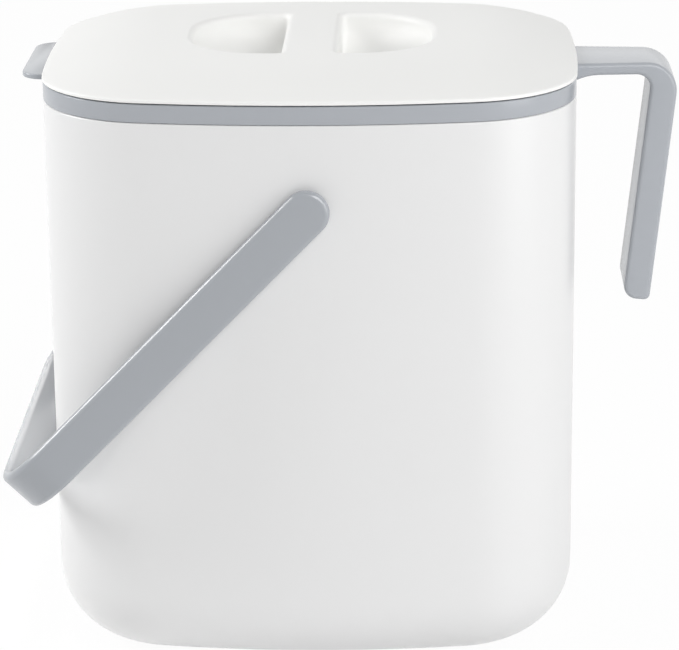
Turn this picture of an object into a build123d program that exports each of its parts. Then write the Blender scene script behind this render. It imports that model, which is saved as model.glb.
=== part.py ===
from build123d import *
import os
from math import acos, atan, atan2, cos, degrees, hypot, radians, sin, sqrt, tan

# A kitchen compost bin: a white oblong outer bin, a grey bucket that lifts out by its side handle,
# a white lid with two finger scoops and a grey carrying bail on two pivot pins.
# Lengths are in millimetres and angles in degrees.
# Z is up, the front faces -Y, and the origin is the centre of the base.

# Outer bin: its plan is eight tangent arcs, so its sides and front are slightly bowed
bin_width = 210.0
bin_depth = 176.0
bin_height = 224.0
side_bow_radius = 650.0
front_bow_radius = 415.0
corner_radius = 47.5
bin_wall = 2.6
bin_floor = 3.2
base_round = 31.0
bin_lip_round = 0.8

# Inner bucket: it hangs by its band, which sits on the bin's rim
bucket_gap = 3.8
bucket_wall = 2.0
bucket_floor = 2.4
bucket_draft = 1.6
bucket_base_round = 26.0
under_gap = 5.0
band_height = 7.0
band_wall = 2.2
band_plate = 1.8
band_top_bevel = 0.6
band_bottom_round = 0.5

# Finger tab on the band, at the left
tab_reach = 9.0
tab_root_width = 60.0
tab_tip_width = 57.0
tab_thick = 2.0
tab_drop = 0.7
tab_corner_round = 7.0

# Side handle at the right: an arm from the band, a bend and an open leg that leans inwards
handle_reach = 41.2
handle_drop = 98.9
handle_lean = 6.2
handle_arm_thick = 4.8
handle_leg_thick = 10.9
handle_top_step = 0.2
handle_root_width = 35.0
handle_tip_width = 29.0
handle_outer_round = 12.0
handle_inner_round = 5.5
handle_toe_round = 2.3
handle_heel_round = 5.5
handle_edge_round = 1.5
gusset_depth = 1.8
gusset_reach = 5.0
gusset_round = 20.0
neck_inset = 2.0
root_head_width = 42.0
root_head_slack = 0.2

# Carrying bail: one strap bent to a U, on pins at the middle of the front and the back
pivot_drop = 33.0
bail_length = 167.0
bail_strap_width = 17.0
bail_thick = 4.8
bail_side_gap = 0.8
bail_corner_round = 27.0
bail_edge_round = 1.9
bail_rest_gap = 2.4
bail_contact_gap = 0.4

# Pivot pins: a head inside the bin, a shank through its wall and a press fit in the bail
pin_radius = 4.0
pin_clearance = 0.08
pin_head_radius = 7.5
pin_head_thick = 1.6
pin_head_gap = 0.2
pin_head_round = 0.5
pin_depth_in_bail = 3.2
pin_tip_bevel = 0.4
boss_radius = 9.5
boss_height = 1.3

# Lid cover: a thin edge and a crown that rises in a gentle curve to a flat middle
lid_overhang = 0.3
lid_seam = 0.5
lid_edge = 1.4
lid_wall = 1.6
crown_rise = 7.6
crown_inset_share = 0.85
crown_edge_round = 1.2

# Finger scoops in the lid, with the grip bridge between them
scoop_reach = 47.5
scoop_width = 73.0
bridge_width = 22.0
scoop_depth = 17.0
scoop_corner_round = 30.0
scoop_lip = 3.0
scoop_bridge_round = 2.5
scoop_rim_round = 2.5
scoop_wall = 1.8

# Lid liner: a plug that closes the underside, and its sealing ring
liner_flange_seat = 3.0
liner_top_gap = 0.3
liner_wall = 2.4
liner_floor = 1.8
plug_gap = 1.3
plug_base_round = 1.0
seal_depth = 5.0
seal_height = 3.6
seal_groove = 0.9
seal_slack = 0.1
seal_gap = 0.3

# One overrun serves every cut that has to break through
overrun = 5.0

os.makedirs("parts", exist_ok=True)


# Plan of the bin

half_width = bin_width / 2
half_depth = bin_depth / 2
# The centres of the right bow and of the back bow lie on the X and Y axes
side_centre = half_width - side_bow_radius
back_centre = half_depth - front_bow_radius
# A corner's centre is where it is tangent to both bows
side_reach = side_bow_radius - corner_radius
back_reach = front_bow_radius - corner_radius
span = hypot(side_centre, back_centre)
along = (side_reach**2 - back_reach**2 + span**2) / (2 * span)
across = sqrt(side_reach**2 - along**2)
corner_x = side_centre + (-side_centre * along - back_centre * across) / span
corner_y = (back_centre * along - side_centre * across) / span
side_sweep = degrees(atan2(corner_y, corner_x - side_centre))
back_sweep = degrees(atan2(corner_x, corner_y - back_centre))
corner_sweep = 90 - side_sweep - back_sweep


def plan_face(inset):
    """The bin's plan as a flat face, drawn smaller all round by the inset."""
    side_radius = side_bow_radius - inset
    back_radius = front_bow_radius - inset
    corner = corner_radius - inset
    with BuildSketch() as plan:
        with BuildLine():
            CenterArc((side_centre, 0), side_radius, -side_sweep, 2 * side_sweep)
            CenterArc((corner_x, corner_y), corner, side_sweep, corner_sweep)
            CenterArc((0, back_centre), back_radius, 90 - back_sweep, 2 * back_sweep)
            CenterArc((-corner_x, corner_y), corner, 90 + back_sweep, corner_sweep)
            CenterArc((-side_centre, 0), side_radius, 180 - side_sweep, 2 * side_sweep)
            CenterArc((-corner_x, -corner_y), corner, 180 + side_sweep, corner_sweep)
            CenterArc((0, -back_centre), back_radius, 270 - back_sweep, 2 * back_sweep)
            CenterArc((corner_x, -corner_y), corner, 270 + back_sweep, corner_sweep)
        make_face()
    return plan.sketch


def flats(part):
    """The part's level faces, from the lowest to the highest."""
    return part.faces().filter_by(Axis.Z).sort_by(Axis.Z)


# Heights that the pieces share
band_top = bin_height + band_height
pivot_height = bin_height - pivot_drop
bucket_base = bin_floor + under_gap
bucket_inset = bin_wall + bucket_gap
bucket_inner_inset = bucket_inset + bucket_wall
draft_slope = tan(radians(bucket_draft))
lid_base = band_top + lid_seam
crown_base = lid_base + lid_edge
crown_top = crown_base + crown_rise

# Depths from the middle plane, out to the bail's outer face
boss_face = half_depth - bin_wall - boss_height
pin_head_face = boss_face - pin_head_gap
bail_inner_face = half_depth + bail_side_gap
bail_outer_face = bail_inner_face + bail_thick
pin_tip = bail_inner_face + pin_depth_in_bail


def pivot_plane(side, distance):
    """A plane square to the pivot axis, that far from the middle and facing outwards."""
    return Plane(origin=(0, side * distance, pivot_height), x_dir=(1, 0, 0), z_dir=(0, side, 0))


def filled_form(inset, floor, top, floor_round, draft=0):
    """A solid with the bin's plan, narrower towards its floor, its floor edge rounded."""
    with BuildPart() as form:
        with BuildSketch(Plane(origin=(0, 0, top), z_dir=(0, 0, -1))):
            add(plan_face(inset))
        extrude(amount=top - floor, taper=draft)
        fillet(flats(form.part)[0].edges(), radius=floor_round)
    return form.part


# Outer bin: a moulded shell with a boss and a bore for each pivot pin
bin_outside = filled_form(0, 0, bin_height, base_round)
bin_inside = filled_form(bin_wall, bin_floor, bin_height + overrun, base_round - bin_wall)

with BuildPart() as outer_bin:
    add(bin_outside)
    add(bin_inside, mode=Mode.SUBTRACT)
    fillet(flats(outer_bin.part)[-1].edges(), radius=bin_lip_round)
    for side in (-1, 1):
        with BuildSketch(pivot_plane(side, boss_face)):
            Circle(boss_radius)
        extrude(amount=boss_height + bin_wall / 2)
        with BuildSketch(pivot_plane(side, boss_face - overrun)):
            Circle(pin_radius + pin_clearance)
        extrude(amount=boss_height + bin_wall + 2 * overrun, mode=Mode.SUBTRACT)
outer_bin.part.label = "outer_bin"
export_step(outer_bin.part, "parts/outer_bin.step")


# Inner bucket: a drafted pail, its band over the bin's rim and the finger tab
tab_top = band_top - tab_drop
tab_tip = half_width + tab_reach
# The slot in the band takes the neck of the side handle
handle_top = band_top - handle_top_step
handle_under = handle_top - handle_arm_thick
neck_top = band_top - band_plate
neck_width = handle_root_width - 2 * neck_inset

bucket_outside = filled_form(bucket_inset, bucket_base, band_top, bucket_base_round, bucket_draft)
inner_top_inset = bucket_inner_inset - overrun * draft_slope
bucket_inside = filled_form(
    inner_top_inset,
    bucket_base + bucket_floor,
    band_top + overrun,
    bucket_base_round - bucket_wall,
    bucket_draft,
)

with BuildPart() as inner_bucket:
    add(bucket_outside)
    with BuildSketch(Plane.XY.offset(neck_top)):
        add(plan_face(0))
    extrude(amount=band_plate)
    with BuildSketch(Plane.XY.offset(bin_height)):
        add(plan_face(0))
        add(plan_face(band_wall), mode=Mode.SUBTRACT)
    extrude(amount=band_height)
    add(bucket_inside, mode=Mode.SUBTRACT)
    chamfer(flats(inner_bucket.part)[-1].outer_wire().edges(), length=band_top_bevel)
    band_foot = flats(inner_bucket.part).filter_by_position(Axis.Z, bin_height, bin_height)
    fillet(band_foot[0].outer_wire().edges(), radius=band_bottom_round)
    with BuildSketch(Plane.XY.offset(tab_top - tab_thick)) as tab_outline:
        with BuildLine():
            Polyline(
                (band_wall / 2 - half_width, tab_root_width / 2),
                (-tab_tip, tab_tip_width / 2),
                (-tab_tip, -tab_tip_width / 2),
                (band_wall / 2 - half_width, -tab_root_width / 2),
                close=True,
            )
        make_face()
        fillet(tab_outline.vertices().group_by(Axis.X)[0], radius=tab_corner_round)
    extrude(amount=tab_thick)
    with BuildSketch(Plane.YZ.offset(half_width - band_wall - overrun / 2)):
        with Locations((0, (handle_under + neck_top) / 2)):
            Rectangle(neck_width, neck_top - handle_under)
    extrude(amount=band_wall + overrun, mode=Mode.SUBTRACT)
inner_bucket.part.label = "inner_bucket"
export_step(inner_bucket.part, "parts/inner_bucket.step")


# Side handle: one moulding whose T-shaped root is held in the channel under the band
lean = radians(handle_lean)
handle_tip = half_width + handle_reach
toe_x = handle_tip - handle_drop * sin(lean)
toe_z = handle_top - handle_drop * cos(lean)
heel_x = toe_x - handle_leg_thick * cos(lean)
heel_z = toe_z + handle_leg_thick * sin(lean)
inner_bend_x = heel_x + (handle_under - heel_z) * tan(lean)
# The bowed band falls back by this much across the width of the root
root_bow = side_bow_radius - sqrt(side_bow_radius**2 - (root_head_width / 2) ** 2)
root_head_face = half_width - band_wall - root_head_slack - root_bow
root_head_back = half_width - bucket_inset + root_head_slack
neck_foot = handle_under + root_head_slack
neck_depth = neck_top - neck_foot
neck_middle = (neck_top + neck_foot) / 2

with BuildPart() as side_handle:
    with BuildSketch(Plane.XZ):
        with BuildLine() as handle_line:
            Polyline(
                (half_width, handle_top),
                (handle_tip, handle_top),
                (toe_x, toe_z),
                (heel_x, heel_z),
                (inner_bend_x, handle_under),
                (half_width + gusset_reach, handle_under),
                (half_width, handle_under - gusset_depth),
                close=True,
            )
            corners = handle_line.vertices()
            fillet(corners.sort_by_distance((handle_tip, handle_top))[0], radius=handle_outer_round)
            fillet(corners.sort_by_distance((toe_x, toe_z))[0], radius=handle_toe_round)
            fillet(corners.sort_by_distance((heel_x, heel_z))[0], radius=handle_heel_round)
            fillet(corners.sort_by_distance((inner_bend_x, handle_under))[0], radius=handle_inner_round)
            gusset_end = (half_width + gusset_reach, handle_under)
            fillet(corners.sort_by_distance(gusset_end)[0], radius=gusset_round)
        make_face()
    extrude(amount=handle_root_width, both=True)
    with BuildSketch(Plane.XY.offset(toe_z - overrun)):
        with BuildLine():
            Polyline(
                (half_width, handle_root_width / 2),
                (handle_tip, handle_tip_width / 2),
                (handle_tip, -handle_tip_width / 2),
                (half_width, -handle_root_width / 2),
                close=True,
            )
        make_face()
    extrude(amount=handle_drop + 2 * overrun, mode=Mode.INTERSECT)
    cheeks = side_handle.faces().sort_by(Axis.Y)
    rims = cheeks[0].edges() + cheeks[-1].edges()
    root_edges = side_handle.faces().sort_by(Axis.X)[0].edges()
    fillet(rims - root_edges, radius=handle_edge_round)
    with BuildSketch(Plane.YZ.offset(root_head_face)):
        with Locations((0, neck_middle)):
            Rectangle(neck_width - 2 * root_head_slack, neck_depth)
    extrude(amount=half_width - root_head_face + gusset_reach)
    with BuildSketch(Plane.YZ.offset(root_head_back)):
        with Locations((0, neck_middle)):
            Rectangle(root_head_width, neck_depth)
    extrude(amount=root_head_face - root_head_back)
side_handle.part.label = "side_handle"
export_step(side_handle.part, "parts/side_handle.step")


# Carrying bail: it hangs to the left, with its crossbar just off the bin's wall
bail_half = bail_strap_width / 2
bail_reach = bail_length - bail_thick
bail_tilt = atan(bail_half / bail_reach)
bail_fall = acos((half_width + bail_rest_gap) / hypot(bail_reach, bail_half)) - bail_tilt
bail_stop = acos((half_width + bail_contact_gap) / hypot(bail_reach, bail_half)) - bail_tilt
bail_out = (-cos(bail_fall), 0, -sin(bail_fall))
bail_across = (sin(bail_fall), 0, -cos(bail_fall))
bail_plane = Plane(origin=(0, 0, pivot_height), x_dir=bail_out, z_dir=bail_across)
bail_side_plane = Plane(origin=(0, 0, pivot_height), x_dir=bail_out, z_dir=(0, -1, 0))
outer_span = 2 * bail_outer_face
inner_span = 2 * bail_inner_face
bail_sag = degrees(bail_stop - bail_fall)
print("bail rests", degrees(bail_fall), "degrees below level and can sag", bail_sag, "more")
print("bail swings over by", 180 + 2 * degrees(bail_fall) + bail_sag)

with BuildPart() as bail_handle:
    with BuildSketch(bail_plane) as outer_outline:
        with Locations((-bail_half, 0)):
            Rectangle(bail_length + bail_half, outer_span, align=(Align.MIN, Align.CENTER))
        fillet(outer_outline.vertices().group_by(Axis.X)[-1], radius=bail_corner_round)
    extrude(amount=bail_half, both=True)
    with BuildSketch(bail_plane) as inner_outline:
        with Locations((-bail_half, 0)):
            Rectangle(bail_reach + bail_half, inner_span, align=(Align.MIN, Align.CENTER))
        fillet(inner_outline.vertices().group_by(Axis.X)[-1], radius=bail_corner_round - bail_thick)
    extrude(amount=bail_half, both=True, mode=Mode.SUBTRACT)
    with BuildSketch(bail_side_plane):
        Circle(bail_half)
        Rectangle(bail_length, bail_strap_width, align=(Align.MIN, Align.CENTER))
    extrude(amount=bail_outer_face, both=True, mode=Mode.INTERSECT)
    bend_seams = bail_handle.edges().filter_by(Axis((0, 0, 0), bail_across))
    end_seams = bail_handle.edges().filter_by(Axis.Y).filter_by(lambda edge: edge.length < bail_half)
    fillet(bail_handle.edges() - bend_seams - end_seams, radius=bail_edge_round)
    for side in (-1, 1):
        with BuildSketch(pivot_plane(side, bail_inner_face - overrun)):
            Circle(pin_radius)
        extrude(amount=pin_depth_in_bail + overrun, mode=Mode.SUBTRACT)
bail_handle.part.label = "bail_handle"
export_step(bail_handle.part, "parts/bail_handle.step")


# Pivot pins: each is pushed in from inside the bin and turns with the bail
for side, pin_name in ((-1, "pivot_pin_front"), (1, "pivot_pin_back")):
    with BuildPart() as pivot_pin:
        with BuildSketch(pivot_plane(side, pin_head_face - pin_head_thick)):
            Circle(pin_head_radius)
        extrude(amount=pin_head_thick)
        fillet(pivot_pin.edges(), radius=pin_head_round)
        with BuildSketch(pivot_plane(side, pin_head_face)):
            Circle(pin_radius)
        extrude(amount=pin_tip - pin_head_face)
        chamfer(pivot_pin.edges().group_by(Axis.Y)[-1 if side > 0 else 0], length=pin_tip_bevel)
    pivot_pin.part.label = pin_name
    export_step(pivot_pin.part, "parts/" + pin_name + ".step")


# Lid cover: a shell with two finger scoops hung from its crown
crown_run = corner_radius * crown_inset_share
crown_shares = (0, 0.25, 0.5, 0.75, 1)
scoop_base = crown_top - scoop_depth
pocket_base = scoop_base - scoop_wall
# The floor's rounding takes up the scoop's depth below its upright lip
scoop_floor_round = scoop_depth - scoop_lip


def crown_form(inset, base):
    """The rise of the crown over its plan, steepest at the edge and level in the middle."""
    with BuildPart() as form:
        for share in crown_shares:
            with BuildSketch(Plane.XY.offset(base + crown_rise * (1 - (1 - share) ** 2))):
                add(plan_face(inset + crown_run * share))
        loft()
    return form.part


def scoop_form(grow, top):
    """The hollow of the right finger scoop, or the outside of its wall when it is grown."""
    near_x = bridge_width / 2 - grow
    far_x = scoop_reach + grow
    half_span = scoop_width / 2 + grow
    base = scoop_base - grow
    with BuildPart() as form:
        with BuildSketch(Plane.XY.offset(base)) as outline:
            with BuildLine():
                Polyline(
                    (near_x, -half_span),
                    (far_x, -half_span),
                    (far_x, half_span),
                    (near_x, half_span),
                    close=True,
                )
            make_face()
            fillet(outline.vertices().group_by(Axis.X)[-1], radius=scoop_corner_round + grow)
        extrude(amount=top - base)
        floor_edges = flats(form.part)[0].edges()
        fillet(floor_edges - floor_edges.sort_by(Axis.X)[:1], radius=scoop_floor_round + grow)
        bridge_edges = form.faces().sort_by(Axis.X)[0].edges()
        fillet(bridge_edges - bridge_edges.sort_by(Axis.Z)[-1:], radius=scoop_bridge_round + grow)
    return form.part


crown_outside = crown_form(-lid_overhang, crown_base)
crown_inside = crown_form(lid_wall - lid_overhang, crown_base - lid_wall)
right_pocket = scoop_form(scoop_wall, crown_top - lid_wall / 2)
right_scoop = scoop_form(0, crown_top + overrun)

with BuildPart() as lid_cover:
    with BuildSketch(Plane.XY.offset(lid_base)):
        add(plan_face(-lid_overhang))
    extrude(amount=lid_edge)
    add(crown_outside)
    rim_edges = lid_cover.edges().filter_by_position(Axis.Z, crown_base, crown_base)
    fillet(rim_edges, radius=crown_edge_round)
    with BuildSketch(Plane.XY.offset(lid_base - overrun)):
        add(plan_face(lid_wall - lid_overhang))
    extrude(amount=lid_edge - lid_wall + overrun, mode=Mode.SUBTRACT)
    add(crown_inside, mode=Mode.SUBTRACT)
    add(right_pocket)
    add(mirror(right_pocket, about=Plane.YZ))
    add(right_scoop, mode=Mode.SUBTRACT)
    add(mirror(right_scoop, about=Plane.YZ), mode=Mode.SUBTRACT)
    scoop_rims = [edge for wire in flats(lid_cover.part)[-1].inner_wires() for edge in wire.edges()]
    fillet(scoop_rims, radius=scoop_rim_round)
lid_cover.part.label = "lid_cover"
export_step(lid_cover.part, "parts/lid_cover.step")


# Lid liner: its flange rests on the band, its floor carries the scoops, and a groove holds the seal
plug_inset = bucket_inner_inset + plug_gap
# The flange fills the wedge between the band and the rising crown, as far out as its seat
flange_inset = bucket_inner_inset - liner_flange_seat
flange_share = (flange_inset - lid_wall + lid_overhang) / crown_run
flange_room = lid_seam + lid_edge - lid_wall + crown_rise * (1 - (1 - flange_share) ** 2)
flange_height = flange_room - liner_top_gap
liner_base = pocket_base - liner_floor
seal_top = band_top - seal_depth
groove_base = seal_top - seal_height

with BuildPart() as lid_liner:
    with BuildSketch(Plane.XY.offset(liner_base)):
        add(plan_face(plug_inset))
    extrude(amount=band_top - liner_base)
    fillet(flats(lid_liner.part)[0].edges(), radius=plug_base_round)
    with BuildSketch(Plane.XY.offset(band_top)):
        add(plan_face(flange_inset))
    extrude(amount=flange_height)
    with BuildSketch(Plane.XY.offset(pocket_base)):
        add(plan_face(plug_inset + liner_wall))
    extrude(amount=band_top - pocket_base + overrun, mode=Mode.SUBTRACT)
    with BuildSketch(Plane.XY.offset(groove_base)):
        add(plan_face(plug_inset))
        add(plan_face(plug_inset + seal_groove), mode=Mode.SUBTRACT)
    extrude(amount=seal_height, mode=Mode.SUBTRACT)
lid_liner.part.label = "lid_liner"
export_step(lid_liner.part, "parts/lid_liner.step")

# The seal just clears the drafted bucket wall at its lower edge
seal_face = bucket_inner_inset + draft_slope * (seal_depth + seal_height) + seal_gap
with BuildPart() as lid_seal:
    with BuildSketch(Plane.XY.offset(groove_base + seal_slack)):
        add(plan_face(seal_face))
        add(plan_face(plug_inset + seal_groove), mode=Mode.SUBTRACT)
    extrude(amount=seal_height - 2 * seal_slack)
lid_seal.part.label = "lid_seal"
export_step(lid_seal.part, "parts/lid_seal.step")
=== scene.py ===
# %% [markdown]
# # A kitchen compost bin, dressed around its CAD frame
# The bin has an oblong white shell, a grey bucket that lifts out by its side handle, a white lid with
# two finger scoops, and a grey carrying bail that hangs at the left.
# The frame holds the real sizes. Each piece here is modelled again with smooth faces and soft edges,
# in the same place, and rides on the same body as the solid that it stands for.

# %% The fixed frame
from math import acos, atan, atan2, ceil, cos, degrees, hypot, radians, sin, sqrt, tan

import bmesh
import bpy
from mathutils import Matrix, Vector
from mathutils.kdtree import KDTree


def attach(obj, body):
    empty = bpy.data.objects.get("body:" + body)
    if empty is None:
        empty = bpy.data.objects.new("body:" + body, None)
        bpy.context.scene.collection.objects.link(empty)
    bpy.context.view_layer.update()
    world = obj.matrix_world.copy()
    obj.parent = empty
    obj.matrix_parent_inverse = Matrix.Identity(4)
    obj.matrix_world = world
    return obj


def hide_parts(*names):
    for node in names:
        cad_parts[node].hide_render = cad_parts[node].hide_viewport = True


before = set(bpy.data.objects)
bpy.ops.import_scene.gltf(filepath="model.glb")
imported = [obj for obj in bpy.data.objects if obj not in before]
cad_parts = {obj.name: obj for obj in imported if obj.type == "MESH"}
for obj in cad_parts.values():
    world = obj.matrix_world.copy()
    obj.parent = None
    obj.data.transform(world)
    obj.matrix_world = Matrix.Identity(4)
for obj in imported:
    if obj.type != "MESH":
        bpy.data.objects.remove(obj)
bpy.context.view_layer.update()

MM = 0.001
MERGE = 0.004 * MM
UP = Vector((0, 0, 1))
scene = bpy.context.scene
print("the frame holds", sorted(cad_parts))

# %% [markdown]
# ## The plan that the shells share
# Seen from above, the bin is an oblong whose sides and front bulge a little. Four gentle bows and four
# tighter corners, each tangent to the next, draw it. A superellipse would look close, but arcs let
# every wall be offset exactly, because an offset arc is an arc about the same centre.

# %% Plan sizes and arc centres
half_width = 105 * MM
half_depth = 88 * MM
side_bow = 650 * MM
front_bow = 415 * MM
corner_round = 47.5 * MM

side_centre = half_width - side_bow
back_centre = half_depth - front_bow
side_reach = side_bow - corner_round
back_reach = front_bow - corner_round
span = hypot(side_centre, back_centre)
along = (side_reach**2 - back_reach**2 + span**2) / (2 * span)
across = sqrt(side_reach**2 - along**2)
corner_x = side_centre + (-side_centre * along - back_centre * across) / span
corner_y = (back_centre * along - side_centre * across) / span
side_sweep = atan2(corner_y, corner_x - side_centre)
back_sweep = atan2(corner_x, corner_y - back_centre)
corner_sweep = radians(90) - side_sweep - back_sweep

side_steps, front_steps, corner_steps = 8, 14, 20
plan_arcs = (
    ((side_centre, 0, 0), 2 * side_sweep, side_steps),
    ((corner_x, corner_y, 0), corner_sweep, corner_steps),
    ((0, back_centre, 0), 2 * back_sweep, front_steps),
    ((-corner_x, corner_y, 0), corner_sweep, corner_steps),
    ((-side_centre, 0, 0), 2 * side_sweep, side_steps),
    ((-corner_x, -corner_y, 0), corner_sweep, corner_steps),
    ((0, -back_centre, 0), 2 * back_sweep, front_steps),
    ((corner_x, -corner_y, 0), corner_sweep, corner_steps),
)
print("corner centres at", round(corner_x / MM, 1), round(corner_y / MM, 1), "mm")

# %% [markdown]
# ## Drawing helpers
# A moulded part is a profile led round a path. The profile is drawn as one vertex that is
# extruded from point to point. Its corners are rounded where the mould would be, and the rounding gets
# more points where the radius is large.


# %% A path with rounded corners
def rounded_path(corners, steps=None):
    """The points of a path through corners of (across, up, radius), each rounded by its radius."""
    points = []
    for i, (x, y, radius) in enumerate(corners):
        here = Vector((x, y))
        if radius == 0:
            points.append(here)
            continue
        back = (Vector(corners[i - 1][:2]) - here).normalized()
        onward = (Vector(corners[(i + 1) % len(corners)][:2]) - here).normalized()
        opening = back.angle(onward)
        cut = radius / tan(opening / 2)
        centre = here + (back + onward).normalized() * (radius / sin(opening / 2))
        start = here + back * cut - centre
        end = here + onward * cut - centre
        sweep = radians(180) - opening
        quarter_steps = 3 + 2 * sqrt(radius / MM)
        count = steps or max(2, ceil(degrees(sweep) / 90 * quarter_steps))
        for k in range(count + 1):
            share = k / count
            arm = start * sin((1 - share) * sweep) + end * sin(share * sweep)
            points.append(centre + arm / sin(sweep))
    return points


# %% Points and lines in edit mode
def new_piece(name):
    """An empty mesh object at the origin, in edit mode."""
    bpy.ops.object.select_all(action="DESELECT")
    bpy.ops.mesh.primitive_plane_add(size=MM)
    piece = bpy.context.object
    piece.name = piece.data.name = name
    bpy.ops.object.mode_set(mode="EDIT")
    bpy.ops.mesh.select_all(action="SELECT")
    bpy.ops.mesh.delete(type="VERT")
    return piece


def draw_line(points, closed=False):
    """Extrudes one vertex from point to point, and back to the first one if the line is closed."""
    bpy.ops.mesh.select_all(action="DESELECT")
    bpy.ops.mesh.primitive_plane_add(size=MM, location=points[0])
    bpy.ops.mesh.merge(type="CENTER")
    route = list(points[1:]) + ([points[0]] if closed else [])
    here = points[0]
    for point in route:
        bpy.ops.mesh.extrude_region_move(TRANSFORM_OT_translate={"value": point - here})
        here = point
    if closed:
        select_near(points)
        bpy.ops.mesh.remove_doubles(threshold=MERGE)


def select_where(test):
    """Selects the vertices that pass a test, with the edges and faces between them."""
    bpy.ops.mesh.select_all(action="DESELECT")
    form = bmesh.from_edit_mesh(bpy.context.edit_object.data)
    for vertex in form.verts:
        vertex.select = test(vertex)
    form.select_flush_mode()
    bmesh.update_edit_mesh(bpy.context.edit_object.data)


def select_near(points):
    """Selects the vertices that lie on the given points."""
    tree = KDTree(len(points))
    for i, point in enumerate(points):
        tree.insert(point, i)
    tree.balance()
    select_where(lambda vertex: tree.find(vertex.co)[2] < MERGE)


def select_open_rim(height):
    """Selects the open edges at one height."""
    select_where(lambda vertex: abs(vertex.co.z - height) < MERGE and vertex.is_boundary)


# %% Round the plan
def lead_round_plan(profile):
    """Spins the profile of (inset, height) points about the eight arc centres in turn."""
    outward = Vector((cos(side_sweep), -sin(side_sweep), 0))
    first = Vector((side_centre, 0, 0))
    line = [first + outward * (side_bow - inset) + UP * height for inset, height in profile]
    draw_line(line)
    select_near(line)
    for centre, sweep, steps in plan_arcs:
        bpy.ops.mesh.spin(steps=steps, angle=-sweep, center=centre, axis=UP)
    bpy.ops.mesh.select_all(action="SELECT")
    bpy.ops.mesh.remove_doubles(threshold=MERGE)


# %% Close, smooth and hand over
smooth_limit = radians(32)


def close_level(height):
    """Closes the open edges at one height with a flat face."""
    select_open_rim(height)
    bpy.ops.mesh.edge_face_add()


def leave_edit():
    """Merges doubles, turns every face outwards and goes back to object mode."""
    bpy.ops.mesh.select_all(action="SELECT")
    bpy.ops.mesh.remove_doubles(threshold=MERGE)
    bpy.ops.mesh.normals_make_consistent(inside=False)
    bpy.ops.object.mode_set(mode="OBJECT")


def carve(piece, tool, operation):
    """Joins the tool to the piece or cuts it out of it, and removes the tool."""
    bpy.ops.object.select_all(action="DESELECT")
    bpy.context.view_layer.objects.active = piece
    modifier = piece.modifiers.new("carve", "BOOLEAN")
    modifier.object = tool
    modifier.operation = operation
    modifier.solver = "EXACT"
    bpy.ops.object.modifier_apply(modifier=modifier.name)
    bpy.data.objects.remove(tool)


def hand_over(piece, node, body, finish):
    """Smooths the piece and puts it in the place of a node, on its body and in its finish."""
    bpy.ops.object.select_all(action="DESELECT")
    piece.select_set(True)
    bpy.context.view_layer.objects.active = piece
    bpy.ops.object.shade_smooth_by_angle(angle=smooth_limit)
    piece.data.materials.clear()
    piece.data.materials.append(finishes[finish])
    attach(piece, body)
    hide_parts(node)
    form = bmesh.new()
    form.from_mesh(piece.data)
    loose = sum(not edge.is_manifold for edge in form.edges)
    print(piece.name, "has", len(form.faces), "faces,", loose, "open edges and",
          round(form.calc_volume() / MM**3), "mm3")
    form.free()


# %% [markdown]
# ## Finishes
# All the hard pieces are moulded plastic with a satin skin. Up close such a skin has a very fine
# grain, the gloss drifts a little from place to place, and the colour is almost even. The grain is a
# small bump from a fine noise, and a slow noise moves the roughness. Object coordinates keep the
# grain at its real scale on every piece.


# %% Satin plastic
noise_low, noise_high = 0.2, 0.8
gloss_scale = 14
gloss_change = 0.02
colour_scale = 9
deeper_share = 0.985
grain_scale = 1400
grain_detail = 3
grain_strength = 0.25


def drift(tree, coordinates, scale, low, high):
    """A slow noise, spread between two values."""
    noise = tree.nodes.new("ShaderNodeTexNoise")
    noise.inputs["Scale"].default_value = scale
    noise.inputs["Detail"].default_value = 1
    tree.links.new(coordinates, noise.inputs["Vector"])
    spread = tree.nodes.new("ShaderNodeMapRange")
    spread.interpolation_type = "SMOOTHSTEP"
    spread.inputs["From Min"].default_value = noise_low
    spread.inputs["From Max"].default_value = noise_high
    spread.inputs["To Min"].default_value = low
    spread.inputs["To Max"].default_value = high
    tree.links.new(noise.outputs["Fac"], spread.inputs["Value"])
    return spread.outputs["Result"]


def satin_plastic(name, colour, roughness, grain_height, ior=1.49):
    """Moulded plastic: an almost even colour, a fine grain and a gloss that drifts."""
    finish = bpy.data.materials.new(name)
    finish.use_nodes = True
    tree = finish.node_tree
    shader = tree.nodes["Principled BSDF"]
    place = tree.nodes.new("ShaderNodeTexCoord").outputs["Object"]
    gloss = drift(tree, place, gloss_scale, roughness - gloss_change, roughness + gloss_change)
    tree.links.new(gloss, shader.inputs["Roughness"])
    mix = tree.nodes.new("ShaderNodeMix")
    mix.data_type = "RGBA"
    mix.inputs["A"].default_value = (*[channel * deeper_share for channel in colour], 1)
    mix.inputs["B"].default_value = (*colour, 1)
    tree.links.new(drift(tree, place, colour_scale, 0, 1), mix.inputs["Factor"])
    tree.links.new(mix.outputs["Result"], shader.inputs["Base Color"])
    grain = tree.nodes.new("ShaderNodeTexNoise")
    grain.inputs["Scale"].default_value = grain_scale
    grain.inputs["Detail"].default_value = grain_detail
    tree.links.new(place, grain.inputs["Vector"])
    bump = tree.nodes.new("ShaderNodeBump")
    bump.inputs["Strength"].default_value = grain_strength
    bump.inputs["Distance"].default_value = grain_height
    tree.links.new(grain.outputs["Fac"], bump.inputs["Height"])
    tree.links.new(bump.outputs["Normal"], shader.inputs["Normal"])
    shader.inputs["IOR"].default_value = ior
    return finish


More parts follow.
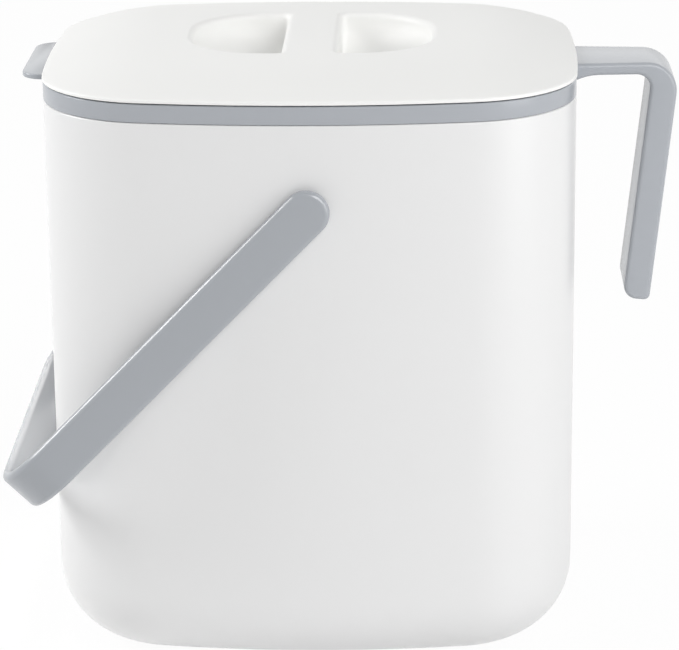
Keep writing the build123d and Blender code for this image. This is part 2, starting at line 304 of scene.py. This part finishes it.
finishes = {
    "white_shell": satin_plastic("white_shell", (0.81, 0.81, 0.81), 0.30, 0.02 * MM),
    "white_lid": satin_plastic("white_lid", (0.93, 0.93, 0.915), 0.5, 0.02 * MM),
    "white_liner": satin_plastic("white_liner", (0.78, 0.78, 0.77), 0.48, 0.03 * MM),
    "grey_bucket": satin_plastic("grey_bucket", (0.41, 0.43, 0.462), 0.22, 0.02 * MM),
    "grey_bail": satin_plastic("grey_bail", (0.36, 0.38, 0.41), 0.2, 0.02 * MM, ior=1.75),
    "pin_plastic": satin_plastic("pin_plastic", (0.30, 0.31, 0.33), 0.50, 0.03 * MM),
    "seal_silicone": satin_plastic("seal_silicone", (0.55, 0.56, 0.58), 0.62, 0.02 * MM),
}
print("finishes:", *finishes)

# %% [markdown]
# ## Outer bin
# The outer bin is one moulding: a wall of even thickness with a large rounding at its base. A ledge
# just inside its rounded lip carries the band of the bucket, and the rounding catches the light as a
# fine line under that band. The profile starts under the floor, goes up the outside, over the lip and
# down the inside. Two flat faces close the floor.

# %% Outer bin shell
bin_height = 224 * MM
bin_wall = 2.6 * MM
bin_floor = 3.2 * MM
base_round = 31 * MM
lip_step = 0.2 * MM
lip_ledge = 1.2 * MM
lip_round = 0.8 * MM
mouth_round = 0.4 * MM
flat_inset = 40 * MM

outer_bin = new_piece("bin_shell")
lead_round_plan(rounded_path((
    (flat_inset, 0, 0),
    (0, 0, base_round),
    (0, bin_height - lip_step, lip_round),
    (lip_ledge, bin_height - lip_step, 0),
    (lip_ledge, bin_height, 0),
    (bin_wall, bin_height, mouth_round),
    (bin_wall, bin_floor, base_round - bin_wall),
    (flat_inset, bin_floor, 0),
)))
close_level(0)
close_level(bin_floor)
print("the shell is", round(bin_height / MM, 1), "mm high")

# %% [markdown]
# Under the base the mould leaves a shallow round recess with the gate mark in its middle. It can't be
# seen in use. An inset, a small move and one more inset are enough for it.

# %% Base recess
recess_width = 5 * MM
recess_depth = 0.8 * MM
bpy.ops.mesh.select_all(action="SELECT")
bpy.ops.mesh.normals_make_consistent(inside=False)
select_where(lambda vertex: abs(vertex.co.z) < MERGE)
bpy.ops.mesh.inset(thickness=recess_width)
bpy.ops.mesh.inset(thickness=recess_depth, depth=-recess_depth)
leave_edit()
print("the recess is", round(recess_depth / MM, 1), "mm deep")

# %% [markdown]
# The bail turns on two pins that go through the wall. Each has a round boss on the inside and a bore.
# They are cut with a cylinder rather than modelled into the wall, as a machined insert in the mould
# would make them.

# %% Pivot bosses and bores
pivot_drop = 33 * MM
pivot_height = bin_height - pivot_drop
boss_round = 9.5 * MM
boss_height = 1.3 * MM
bore_round = 4.08 * MM
round_sides = 64


def round_tool(radius, near, far, side):
    """A cylinder along Y, between two distances from the middle plane."""
    bpy.ops.object.select_all(action="DESELECT")
    bpy.ops.mesh.primitive_cylinder_add(
        vertices=round_sides,
        radius=radius,
        depth=far - near,
        location=(0, side * (near + far) / 2, pivot_height),
        rotation=(radians(90), 0, 0),
    )
    bpy.ops.object.transform_apply(location=True, rotation=True, scale=True)
    return bpy.context.object


boss_face = half_depth - bin_wall - boss_height
for side in (-1, 1):
    carve(outer_bin, round_tool(boss_round, boss_face, half_depth - bin_wall / 2, side), "UNION")
    carve(outer_bin, round_tool(bore_round, boss_face - MM, half_depth + MM, side), "DIFFERENCE")
hand_over(outer_bin, "outer_bin", "outer_bin", "white_shell")

# %% [markdown]
# ## Inner bucket
# The grey bucket hangs by a band that stands on the bin's lip. Only the band and its finger tab show
# when the lid is on. The profile goes from under the floor up the drafted wall, out under the band's
# plate, round the band and down the inside.

# %% Bucket shell
bucket_inset = 6.4 * MM
bucket_wall = 2 * MM
bucket_base = 8.2 * MM
bucket_floor = 2.4 * MM
bucket_round = 26 * MM
bucket_draft = radians(1.6)
draft_slope = tan(bucket_draft)
band_height = 7 * MM
band_wall = 2.2 * MM
band_plate = 1.8 * MM
band_bevel = 0.35 * MM
bevel_round = 0.15 * MM
band_foot = 0.25 * MM
ledge_round = 0.3 * MM
plate_round = 0.6 * MM
rim_round = 0.7 * MM
band_top = bin_height + band_height
plate_base = band_top - band_plate


def drafted(inset, height):
    """The inset of a wall that narrows evenly below the band's top."""
    return inset + (band_top - height) * draft_slope


bucket_inner = bucket_inset + bucket_wall
floor_top = bucket_base + bucket_floor
bucket = new_piece("bucket_shell")
lead_round_plan(rounded_path((
    (flat_inset, bucket_base, 0),
    (drafted(bucket_inset, bucket_base), bucket_base, bucket_round),
    (drafted(bucket_inset, plate_base), plate_base, plate_round),
    (band_wall, plate_base, plate_round),
    (band_wall, bin_height, ledge_round),
    (0, bin_height, band_foot),
    (0, band_top - band_bevel, bevel_round),
    (band_bevel, band_top, bevel_round),
    (bucket_inner, band_top, rim_round),
    (drafted(bucket_inner, floor_top), floor_top, bucket_round - bucket_wall),
    (flat_inset, floor_top, 0),
)))
close_level(bucket_base)
close_level(floor_top)
leave_edit()
print("the bucket's rim is at", round(band_top / MM, 1), "mm")

# %% [markdown]
# The finger tab at the left is a flat tongue, a little narrower at its tip, with rounded corners. Its
# outline is filled, extruded to its thickness and bevelled all round.

# %% Finger tab
tab_reach = 9 * MM
tab_root = 30 * MM
tab_tip = 28.5 * MM
tab_thick = 2 * MM
tab_sink = 0.7 * MM
tab_top = band_top - tab_sink
tab_round = 9 * MM
tab_edge = 0.45 * MM
tab_start = band_wall / 2 - half_width

tab = new_piece("finger_tab")
tab_corners = (
    (tab_start, tab_root, 0),
    (-half_width - tab_reach, tab_tip, tab_round),
    (-half_width - tab_reach, -tab_tip, tab_round),
    (tab_start, -tab_root, 0),
)
draw_line([Vector((x, y, tab_top - tab_thick)) for x, y in rounded_path(tab_corners)], closed=True)
bpy.ops.mesh.select_all(action="SELECT")
bpy.ops.mesh.edge_face_add()
bpy.ops.mesh.extrude_region_move(TRANSFORM_OT_translate={"value": UP * tab_thick})
form = bmesh.from_edit_mesh(tab.data)
for edge in form.edges:
    level = abs(edge.verts[0].co.z - edge.verts[1].co.z) < MERGE
    rooted = all(abs(vertex.co.x - tab_start) < MERGE for vertex in edge.verts)
    edge.select = level and not rooted
bmesh.update_edit_mesh(tab.data)
bpy.ops.mesh.select_mode(type="EDGE")
bpy.ops.mesh.bevel(offset=tab_edge, segments=3, affect="EDGES")
bpy.ops.mesh.select_mode(type="VERT")
leave_edit()
carve(bucket, tab, "UNION")
print("the tab reaches", round(tab_reach / MM, 1), "mm past the rim")

# %% [markdown]
# The band has a slot at the right, through which the neck of the side handle passes.

# %% Slot for the handle's neck
handle_sink = 0.2 * MM
handle_top = band_top - handle_sink
arm_thick = 4.8 * MM
arm_under = handle_top - arm_thick
root_width = 35 * MM
neck_shoulder = 2 * MM
neck_width = root_width - 2 * neck_shoulder
slot_play = 0.2 * MM


def block_tool(low, high, edge=0):
    """A box between two corners, its edges rounded if an edge radius is given."""
    bpy.ops.object.select_all(action="DESELECT")
    bpy.ops.mesh.primitive_cube_add(size=1, location=(Vector(low) + Vector(high)) / 2)
    block = bpy.context.object
    block.scale = Vector(high) - Vector(low)
    bpy.ops.object.transform_apply(location=True, rotation=True, scale=True)
    if edge:
        bpy.ops.object.mode_set(mode="EDIT")
        bpy.ops.mesh.select_all(action="SELECT")
        bpy.ops.mesh.bevel(offset=edge, segments=3, affect="EDGES")
        bpy.ops.object.mode_set(mode="OBJECT")
    return block


slot = block_tool(
    (half_width - 2 * band_wall, -neck_width / 2, arm_under),
    (half_width + band_wall, neck_width / 2, plate_base),
)
carve(bucket, slot, "DIFFERENCE")
hand_over(bucket, "inner_bucket", "bucket", "grey_bucket")

# %% [markdown]
# ## Side handle
# The side handle is a thin arm that bends down into a thick open leg, by which the bucket is lifted
# and tipped. Its side view is drawn as one outline, filled and extruded to more than its width. Two
# slanted cuts narrow it towards the tip, and a bevel rounds its long edges. Under the root a small
# hollow curve stiffens the arm.

# %% Side handle outline
leg_thick = 10.9 * MM
handle_lean = radians(6.2)
handle_drop = 98.9 * MM
handle_tip = half_width + 41.2 * MM
tip_width = 29 * MM
handle_edge = 1.8 * MM
gusset_reach = 5 * MM
gusset_depth = 1.8 * MM
gusset_round = 20 * MM
bend_round = 12 * MM
toe_round = 2.3 * MM
inner_round = 5.5 * MM

toe = Vector((handle_tip, handle_top)) - Vector((sin(handle_lean), cos(handle_lean))) * handle_drop
heel = toe + Vector((-cos(handle_lean), sin(handle_lean))) * leg_thick
bend_x = heel.x + (arm_under - heel.y) * tan(handle_lean)
handle_outline = rounded_path((
    (half_width, handle_top, 0),
    (handle_tip, handle_top, bend_round),
    (toe.x, toe.y, toe_round),
    (heel.x, heel.y, inner_round),
    (bend_x, arm_under, inner_round),
    (half_width + gusset_reach, arm_under, gusset_round),
    (half_width, arm_under - gusset_depth, 0),
))

side_handle = new_piece("side_handle_grip")
draw_line([Vector((x, -root_width, z)) for x, z in handle_outline], closed=True)
bpy.ops.mesh.select_all(action="SELECT")
bpy.ops.mesh.edge_face_add()
bpy.ops.mesh.extrude_region_move(TRANSFORM_OT_translate={"value": (0, 2 * root_width, 0)})
print("the handle's outline has", len(handle_outline), "points")

# %% Side handle taper and rounded edges
taper = Vector((handle_tip - half_width, (tip_width - root_width) / 2, 0))
for side in (-1, 1):
    bpy.ops.mesh.select_all(action="SELECT")
    bpy.ops.mesh.bisect(
        plane_co=(half_width, side * root_width / 2, 0),
        plane_no=(-taper.y, side * taper.x, 0),
        use_fill=True,
        clear_outer=True,
    )
bpy.ops.mesh.select_all(action="SELECT")
bpy.ops.mesh.normals_make_consistent(inside=False)
bpy.ops.mesh.select_all(action="DESELECT")
bpy.ops.mesh.select_mode(type="EDGE")
form = bmesh.from_edit_mesh(side_handle.data)
for face in form.faces:
    if abs(face.normal.y) > 0.9:
        for edge in face.edges:
            rooted = all(vertex.co.x < half_width + MERGE for vertex in edge.verts)
            edge.select = not rooted
bmesh.update_edit_mesh(side_handle.data)
bpy.ops.mesh.bevel(offset=handle_edge, segments=6, affect="EDGES")
bpy.ops.mesh.select_mode(type="VERT")
leave_edit()
print("the handle narrows from", round(root_width / MM), "to", round(tip_width / MM), "mm")

# %% [markdown]
# A T-shaped root holds the handle in the channel behind the band. Its neck goes through the slot.

# %% Handle root
head_half = 21 * MM
head_edge = 0.4 * MM
root_bow = side_bow - sqrt(side_bow**2 - head_half**2)
head_face = half_width - band_wall - slot_play - root_bow
head_back = half_width - bucket_inset + slot_play
neck_foot = arm_under + slot_play
neck = block_tool(
    (head_face - MM, slot_play - neck_width / 2, neck_foot),
    (half_width + gusset_reach, neck_width / 2 - slot_play, plate_base),
)
carve(side_handle, neck, "UNION")
head = block_tool((head_back, -head_half, neck_foot), (head_face, head_half, plate_base), head_edge)
carve(side_handle, head, "UNION")
hand_over(side_handle, "side_handle", "bucket", "grey_bucket")

# %% [markdown]
# ## Carrying bail
# The bail is one flat strap bent to a U. Its rounded section is drawn once and led along the strap:
# straight along an arm, spun round a corner, straight along the crossbar, and back. Each end is half of
# the section, spun a half turn about the pivot, which gives the round end its soft rim.
# The bail rests a little off the wall, so its angle follows from the wall and the strap's length.
# The photographed strap is a little wider than the frame's, on its lower side only. Half of that is
# added to each side of the section, and its axis lies lower by as much.

# %% Bail sizes and directions
strap_half = 8.5 * MM
strap_extra = 0.45 * MM
strap_thick = 4.8 * MM
strap_edge = 2.2 * MM
bail_length = 167 * MM
bail_bend = 27 * MM
bail_gap = 0.8 * MM
rest_gap = 2.4 * MM
section_steps = 6
bend_steps = 20
end_steps = 24

reach = bail_length - strap_thick
fall = acos((half_width + rest_gap) / hypot(reach, strap_half)) - atan(strap_half / reach)
outward = Vector((-cos(fall), 0, -sin(fall)))
crosswise = Vector((sin(fall), 0, -cos(fall)))
pivot = Vector((0, 0, pivot_height))
strap_axis = pivot + crosswise * strap_extra
strap_side = strap_half + strap_extra
inner_face = half_depth + bail_gap
outer_face = inner_face + strap_thick
print("the bail hangs", round(degrees(fall), 2), "degrees below level")

# %% Bail strap
section = rounded_path((
    (0, -inner_face, 0),
    (strap_side, -inner_face, strap_edge),
    (strap_side, -outer_face, strap_edge),
    (0, -outer_face, 0),
    (-strap_side, -outer_face, strap_edge),
    (-strap_side, -inner_face, strap_edge),
), steps=section_steps)
bail = new_piece("bail_strap")
first_end = [strap_axis + crosswise * u + Vector((0, y, 0)) for u, y in section]
draw_line(first_end, closed=True)
select_near(first_end)
bend_place = outer_face - bail_bend
arm_run = outward * (bail_length - bail_bend)
for side, run in ((-1, arm_run), (1, Vector((0, 2 * bend_place, 0)))):
    bpy.ops.mesh.extrude_region_move(TRANSFORM_OT_translate={"value": run})
    bend_centre = strap_axis + arm_run + Vector((0, side * bend_place, 0))
    bpy.ops.mesh.spin(steps=bend_steps, angle=radians(-90), center=bend_centre, axis=crosswise)
bpy.ops.mesh.extrude_region_move(TRANSFORM_OT_translate={"value": -arm_run})
print("the strap's section has", len(section), "points")

# %% Bail ends
for side in (-1, 1):
    half_end = [point.copy() for point in first_end]
    for point in half_end:
        point.y *= -side
    across_end = [point for point in half_end if (point - strap_axis).dot(crosswise) > -MERGE]
    select_near(across_end)
    bpy.ops.mesh.spin(steps=end_steps, angle=radians(180), center=strap_axis, axis=(0, 1, 0))
leave_edit()
print("the strap is", round(2 * strap_side / MM, 1), "mm wide, with two round ends")

# %% Pin sockets in the bail
pin_round = 4 * MM
pin_depth = 3.2 * MM
for side in (-1, 1):
    socket = round_tool(pin_round, inner_face - MM, inner_face + pin_depth, side)
    carve(bail, socket, "DIFFERENCE")
hand_over(bail, "bail_handle", "bail", "grey_bail")

# %% [markdown]
# ## Lid cover
# The lid rises in a gentle crown from a thin edge to a flat middle, and two scoops for the fingertips
# sink into it, with a bridge left between them to lift it by. The crown's profile is led round the
# plan. Each scoop is a stack of rings with the same number of points: a soft rim, an upright wall, a
# wide rounding into the floor, a much smaller one at the bridge, and a long ramp at the outer end,
# along which the fingertips slide in.
# A boolean cut would leave ragged faces just where the light plays, so the rings are bridged instead.

# %% Lid sizes
lid_overhang = 0.3 * MM
lid_seam = 0.6 * MM
lid_base = band_top + lid_seam
lid_edge = 1.3 * MM
lid_wall = 1.6 * MM
crown_rise = 7.6 * MM
crown_share = 0.85
crown_run = crown_share * corner_round
crown_base = lid_base + lid_edge
crown_top = crown_base + crown_rise
ceiling = crown_top - lid_wall
under_start = crown_base - lid_wall
crown_points = 14
middle_margin = 1.4 * MM
middle_inset = crown_run + lid_wall + middle_margin
lid_bevel = 0.9 * MM
foot_round = 0.15 * MM
# The curve of the underside starts below the lid's foot, and comes out of it this far in
foot_share = 1 - sqrt(1 - (lid_base - under_start) / crown_rise)
foot_extra = crown_run * foot_share


def crown_line(inset, base):
    """Corners of the crown's profile from its edge to the flat middle."""
    shares = [k / crown_points for k in range(1, crown_points + 1)]
    return [(inset + crown_run * s, base + crown_rise * (1 - (1 - s) ** 2), 0) for s in shares]


print("the crown's top is at", round(crown_top / MM, 1), "mm")

# %% Scoop sizes
bridge_half = 11 * MM
scoop_reach = 47.5 * MM
scoop_half = 36.5 * MM
scoop_depth = 17 * MM
scoop_corner = 30 * MM
scoop_floor = 14 * MM
scoop_ramp = 26 * MM
bridge_round = 2.5 * MM
scoop_rim = 2.5 * MM
scoop_wall = 1.8 * MM
collar = 1.5 * MM
corner_points = 10
floor_steps = 11
rim_steps = 7


def scoop_ring(bridge_out, side_out, end_out, height):
    """One ring of the right scoop, moved out from the bridge wall, the sides and the outer end."""
    near = bridge_half - bridge_out
    far = scoop_reach + end_out
    half = scoop_half + side_out
    near_round = bridge_round + max(side_out, 0)
    far_round = min(scoop_corner + side_out, far - near - near_round)
    outline = rounded_path((
        (near, -half, near_round),
        (far, -half, far_round),
        (far, half, far_round),
        (near, half, near_round),
    ), steps=corner_points)
    return [Vector((x, y, height)) for x, y in outline]


def sunk(radius, height):
    """How far a rounded foot stands in at a height above the floor."""
    return radius - sqrt(max(radius**2 - max(radius - height, 0) ** 2, 0))


print("the bridge is", round(2 * bridge_half / MM), "mm wide")
print("each scoop is", round(scoop_depth / MM), "mm deep")

# %% Scoop rings
def floor_rings(grow, base, top):
    """Rings down the wall and round into the floor."""
    rings = [scoop_ring(grow, grow, grow, top)]
    foot = scoop_floor + grow
    ramp = scoop_ramp + grow
    for k in range(floor_steps + 1):
        angle = radians(90) * k / floor_steps
        height = foot * (1 - sin(angle))
        bridge_in = sunk(bridge_round + grow, height)
        side_in = foot * (1 - cos(angle))
        end_in = ramp * (1 - cos(angle))
        rings.append(scoop_ring(grow - bridge_in, grow - side_in, grow - end_in, base + height))
    return rings


def rim_rings():
    """Rings of the flat collar and of the soft rim."""
    edge = scoop_rim + collar
    rings = [scoop_ring(edge, edge, edge, crown_top)]
    for k in range(rim_steps):
        angle = radians(90) * k / rim_steps
        out = scoop_rim * (1 - sin(angle))
        rings.append(scoop_ring(out, out, out, crown_top - scoop_rim * (1 - cos(angle))))
    return rings


def bridge_rings(rings, mirrored):
    """Draws the rings, joins each to the next and closes the last one."""
    flip = Vector((-1, 1, 1)) if mirrored else Vector((1, 1, 1))
    placed = [[point * flip for point in ring] for ring in rings]
    for ring in placed:
        draw_line(ring, closed=True)
    for upper, lower in zip(placed, placed[1:]):
        select_near(upper + lower)
        bpy.ops.mesh.bridge_edge_loops()
    select_near(placed[-1])
    bpy.ops.mesh.edge_face_add()


# %% Scoops
scoop_base = crown_top - scoop_depth
lid = new_piece("lid_crown")
for mirrored in (False, True):
    bridge_rings(rim_rings() + floor_rings(0, scoop_base, crown_top - scoop_rim), mirrored)
    bridge_rings(floor_rings(scoop_wall, scoop_base - scoop_wall, ceiling), mirrored)
print("the scoops' floor is at", round(scoop_base / MM, 1), "mm")

# %% Lid crown
outer_crown = crown_line(-lid_overhang, crown_base)
inner_crown = crown_line(lid_wall - lid_overhang, under_start)
lead_round_plan(rounded_path((
    (middle_inset, crown_top, 0),
    *reversed(outer_crown),
    (-lid_overhang, crown_base, lid_bevel),
    (-lid_overhang, lid_base, foot_round),
    (lid_wall - lid_overhang + foot_extra, lid_base, 0),
    *inner_crown,
    (middle_inset, ceiling, 0),
)))
print("the crown follows", len(plan_arcs), "arcs")

# %% Lid middle
for height in (crown_top, ceiling):
    select_open_rim(height)
    bpy.ops.mesh.fill(use_beauty=True)
leave_edit()
hand_over(lid, "lid_cover", "lid", "white_lid")

# %% [markdown]
# ## Lid liner and seal
# Under the cover a shallow plug closes the bucket. It carries the lid's weight on its flange, and a
# groove in its wall holds a soft ring with two lips. They show when the lid is lifted off.

# %% Lid liner
liner_wall = 2.4 * MM
liner_floor = 1.8 * MM
plug_play = 1.3 * MM
plug_round = 1 * MM
flange_width = 3 * MM
flange_play = 0.3 * MM
flange_round = 0.3 * MM
groove_drop = 5 * MM
groove_height = 3.6 * MM
groove_depth = 0.9 * MM

plug_inset = bucket_inner + plug_play
flange_inset = bucket_inner - flange_width
flange_share = (flange_inset - lid_wall + lid_overhang) / crown_run
flange_top = under_start + crown_rise * (1 - (1 - flange_share) ** 2) - flange_play
pocket_base = scoop_base - scoop_wall
liner_base = pocket_base - liner_floor
groove_top = band_top - groove_drop
groove_base = groove_top - groove_height
groove_inset = plug_inset + groove_depth

liner = new_piece("lid_plug")
lead_round_plan(rounded_path((
    (flat_inset, liner_base, 0),
    (plug_inset, liner_base, plug_round),
    (plug_inset, groove_base, 0),
    (groove_inset, groove_base, 0),
    (groove_inset, groove_top, 0),
    (plug_inset, groove_top, 0),
    (plug_inset, band_top, 0),
    (flange_inset, band_top, flange_round),
    (flange_inset, flange_top, flange_round),
    (plug_inset + liner_wall, flange_top, flange_round),
    (plug_inset + liner_wall, pocket_base, plug_round),
    (flat_inset, pocket_base, 0),
)))
close_level(liner_base)
close_level(pocket_base)
leave_edit()
hand_over(liner, "lid_liner", "lid", "white_liner")

# %% Lid seal
seal_play = 0.1 * MM
seal_clearance = 0.3 * MM
lip_edge = 0.3 * MM
seal_base = groove_base + seal_play
seal_top = groove_top - seal_play
seal_face = drafted(bucket_inner, groove_base) + seal_clearance
lip = (seal_top - seal_base) / 4
seal_waist = (seal_face + groove_inset) / 2

seal = new_piece("seal_ring")
seal_profile = rounded_path((
    (groove_inset, seal_base, 0),
    (seal_face, seal_base, lip_edge),
    (seal_face, seal_base + lip, lip_edge),
    (seal_waist, seal_base + 2 * lip, lip_edge),
    (seal_face, seal_top - lip, lip_edge),
    (seal_face, seal_top, lip_edge),
    (groove_inset, seal_top, 0),
))
lead_round_plan(seal_profile + seal_profile[:1])
leave_edit()
hand_over(seal, "lid_seal", "lid", "seal_silicone")

# %% [markdown]
# ## Pivot pins
# The pins are right as the frame has them. They only get their finish.

# %% Pins
for name in ("pivot_pin_front", "pivot_pin_back"):
    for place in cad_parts[name].material_slots:
        place.material = finishes["pin_plastic"]
    print(name, "has its finish")

# %% [markdown]
# ## Camera
# The camera stands in front, a little to the right of the middle, and looks down by about 18 degrees.
# Its focal length, turn and place were fitted to the outline of the photographed bin. It needs no
# shift, because the picture's middle is the camera's own middle.

# %% Camera
focal_px = 3069.3
photo_width = 679
sensor_width = 36
nearest = 0.05
pitch, yaw, roll = radians(17.73), radians(-1.81), radians(-0.61)
rim_place = Vector((-10.684, -101.423, 1231.731)) * MM

right = Vector((1, 0, 0))
up = Vector((0, sin(pitch), cos(pitch)))
ahead = Vector((0, cos(pitch), -sin(pitch)))
rolled_right = cos(roll) * right + sin(roll) * up
rolled_up = cos(roll) * up - sin(roll) * right
axes = Matrix((rolled_right, -rolled_up, ahead)) @ Matrix.Rotation(yaw, 3, "Z")
camera_place = UP * bin_height - axes.transposed() @ rim_place

camera_data = bpy.data.cameras.new("camera")
camera_data.sensor_width = sensor_width
camera_data.lens = focal_px * sensor_width / photo_width
camera_data.clip_start = nearest
camera = bpy.data.objects.new("camera", camera_data)
scene.collection.objects.link(camera)
camera_matrix = Matrix((axes[0], -axes[1], -axes[2])).transposed().to_4x4()
camera_matrix.translation = camera_place
camera.matrix_world = camera_matrix
scene.camera = camera
print("camera at", [round(value, 3) for value in camera_place], "m")

# %% [markdown]
# ## Floor, background and light
# The photograph has a pure white background. The floor and the world are plain white to the camera and
# in reflections, so the glossy greys brighten where they are seen at a low angle, but they light the
# bin only moderately. Five soft lamps do the rest. The key stands at the front right and high, since
# the body gets brighter to the right and the bridge shades the left scoop. A smaller lamp at the left
# lights the left edge of the body and draws the fine bright line along the bail. In the photograph
# the crossbar of the bail is nearly as light inside as outside, although it faces the wall of the bin.
# A narrow warm strip with a small spread, straight above the crossbar and below the finger tab,
# lights it and hardly anything else. A low lamp at the right lights the side handle, and a weak one
# stands behind.

# %% Rays that see the white background
def sees_background(tree):
    """One for camera, mirror and glass rays, and nothing for the rays that light the bin."""
    rays = tree.nodes.new("ShaderNodeLightPath")
    seen = rays.outputs["Is Camera Ray"]
    for name in ("Is Glossy Ray", "Is Transmission Ray"):
        larger = tree.nodes.new("ShaderNodeMath")
        larger.operation = "MAXIMUM"
        tree.links.new(seen, larger.inputs[0])
        tree.links.new(rays.outputs[name], larger.inputs[1])
        seen = larger.outputs["Value"]
    return seen


# %% White world
ambient_strength = 0.3
scene.view_settings.view_transform = "Standard"
world = bpy.data.worlds.new("studio")
world.use_nodes = True
scene.world = world
tree = world.node_tree
ambient = tree.nodes["Background"]
ambient.inputs["Color"].default_value = (1, 1, 1, 1)
ambient.inputs["Strength"].default_value = ambient_strength
backdrop = tree.nodes.new("ShaderNodeBackground")
backdrop.inputs["Color"].default_value = (1, 1, 1, 1)
mix = tree.nodes.new("ShaderNodeMixShader")
tree.links.new(sees_background(tree), mix.inputs["Fac"])
tree.links.new(ambient.outputs["Background"], mix.inputs[1])
tree.links.new(backdrop.outputs["Background"], mix.inputs[2])
tree.links.new(mix.outputs["Shader"], tree.nodes["World Output"].inputs["Surface"])
print("the world lights with", ambient_strength, "and shows white")

# %% Floor
floor_size = 8
floor_colour = (0.95, 0.95, 0.95, 1)
floor_roughness = 0.9
floor_glow = 0.96

bpy.ops.object.select_all(action="DESELECT")
bpy.ops.mesh.primitive_plane_add(size=floor_size)
floor = bpy.context.object
floor.name = "floor"
paper = bpy.data.materials.new("floor_paper")
paper.use_nodes = True
tree = paper.node_tree
matt = tree.nodes["Principled BSDF"]
matt.inputs["Base Color"].default_value = floor_colour
matt.inputs["Roughness"].default_value = floor_roughness
glow = tree.nodes.new("ShaderNodeEmission")
share = tree.nodes.new("ShaderNodeMath")
share.operation = "MULTIPLY"
share.inputs[1].default_value = floor_glow
mix = tree.nodes.new("ShaderNodeMixShader")
tree.links.new(sees_background(tree), share.inputs[0])
tree.links.new(share.outputs["Value"], mix.inputs["Fac"])
tree.links.new(matt.outputs["BSDF"], mix.inputs[1])
tree.links.new(glow.outputs["Emission"], mix.inputs[2])
tree.links.new(mix.outputs["Shader"], tree.nodes["Material Output"].inputs["Surface"])
floor.data.materials.append(paper)
print("the floor is", floor_size, "m wide")


# %% Lamps
def soft_lamp(name, place, target, width, height, power, spread=180, colour=(1, 1, 1)):
    """A rectangular area lamp that faces its target, with its spread in degrees."""
    lamp = bpy.data.lights.new(name, "AREA")
    lamp.shape = "RECTANGLE"
    lamp.size = width
    lamp.size_y = height
    lamp.energy = power
    lamp.spread = radians(spread)
    lamp.color = colour
    holder = bpy.data.objects.new(name, lamp)
    scene.collection.objects.link(holder)
    holder.location = place
    holder.rotation_euler = (Vector(target) - Vector(place)).to_track_quat("-Z", "Y").to_euler()
    print(name, "is", width, "by", height, "m and gives", power, "W")


body_middle = (0, 0, 0.12)
soft_lamp("back_lamp", (0, 1.7, 0.9), (0, 0, 0.2), width=2.2, height=0.9, power=3)
soft_lamp("left_lamp", (-1.4, 0.05, 0.85), body_middle, width=0.6, height=0.8, power=14.5)
soft_lamp("right_lamp", (1.4, -0.8, 0.3), body_middle, width=0.8, height=0.9, power=5.5)
soft_lamp("key_lamp", (0.95, -1.2, 1.2), body_middle, width=1.3, height=1.0, power=16)
soft_lamp(
    "strip_lamp", (-0.12, 0.012, 0.19), (-0.12, 0.012, 0),
    width=0.02, height=0.16, power=0.011, spread=25, colour=(1, 0.93, 0.84),
)
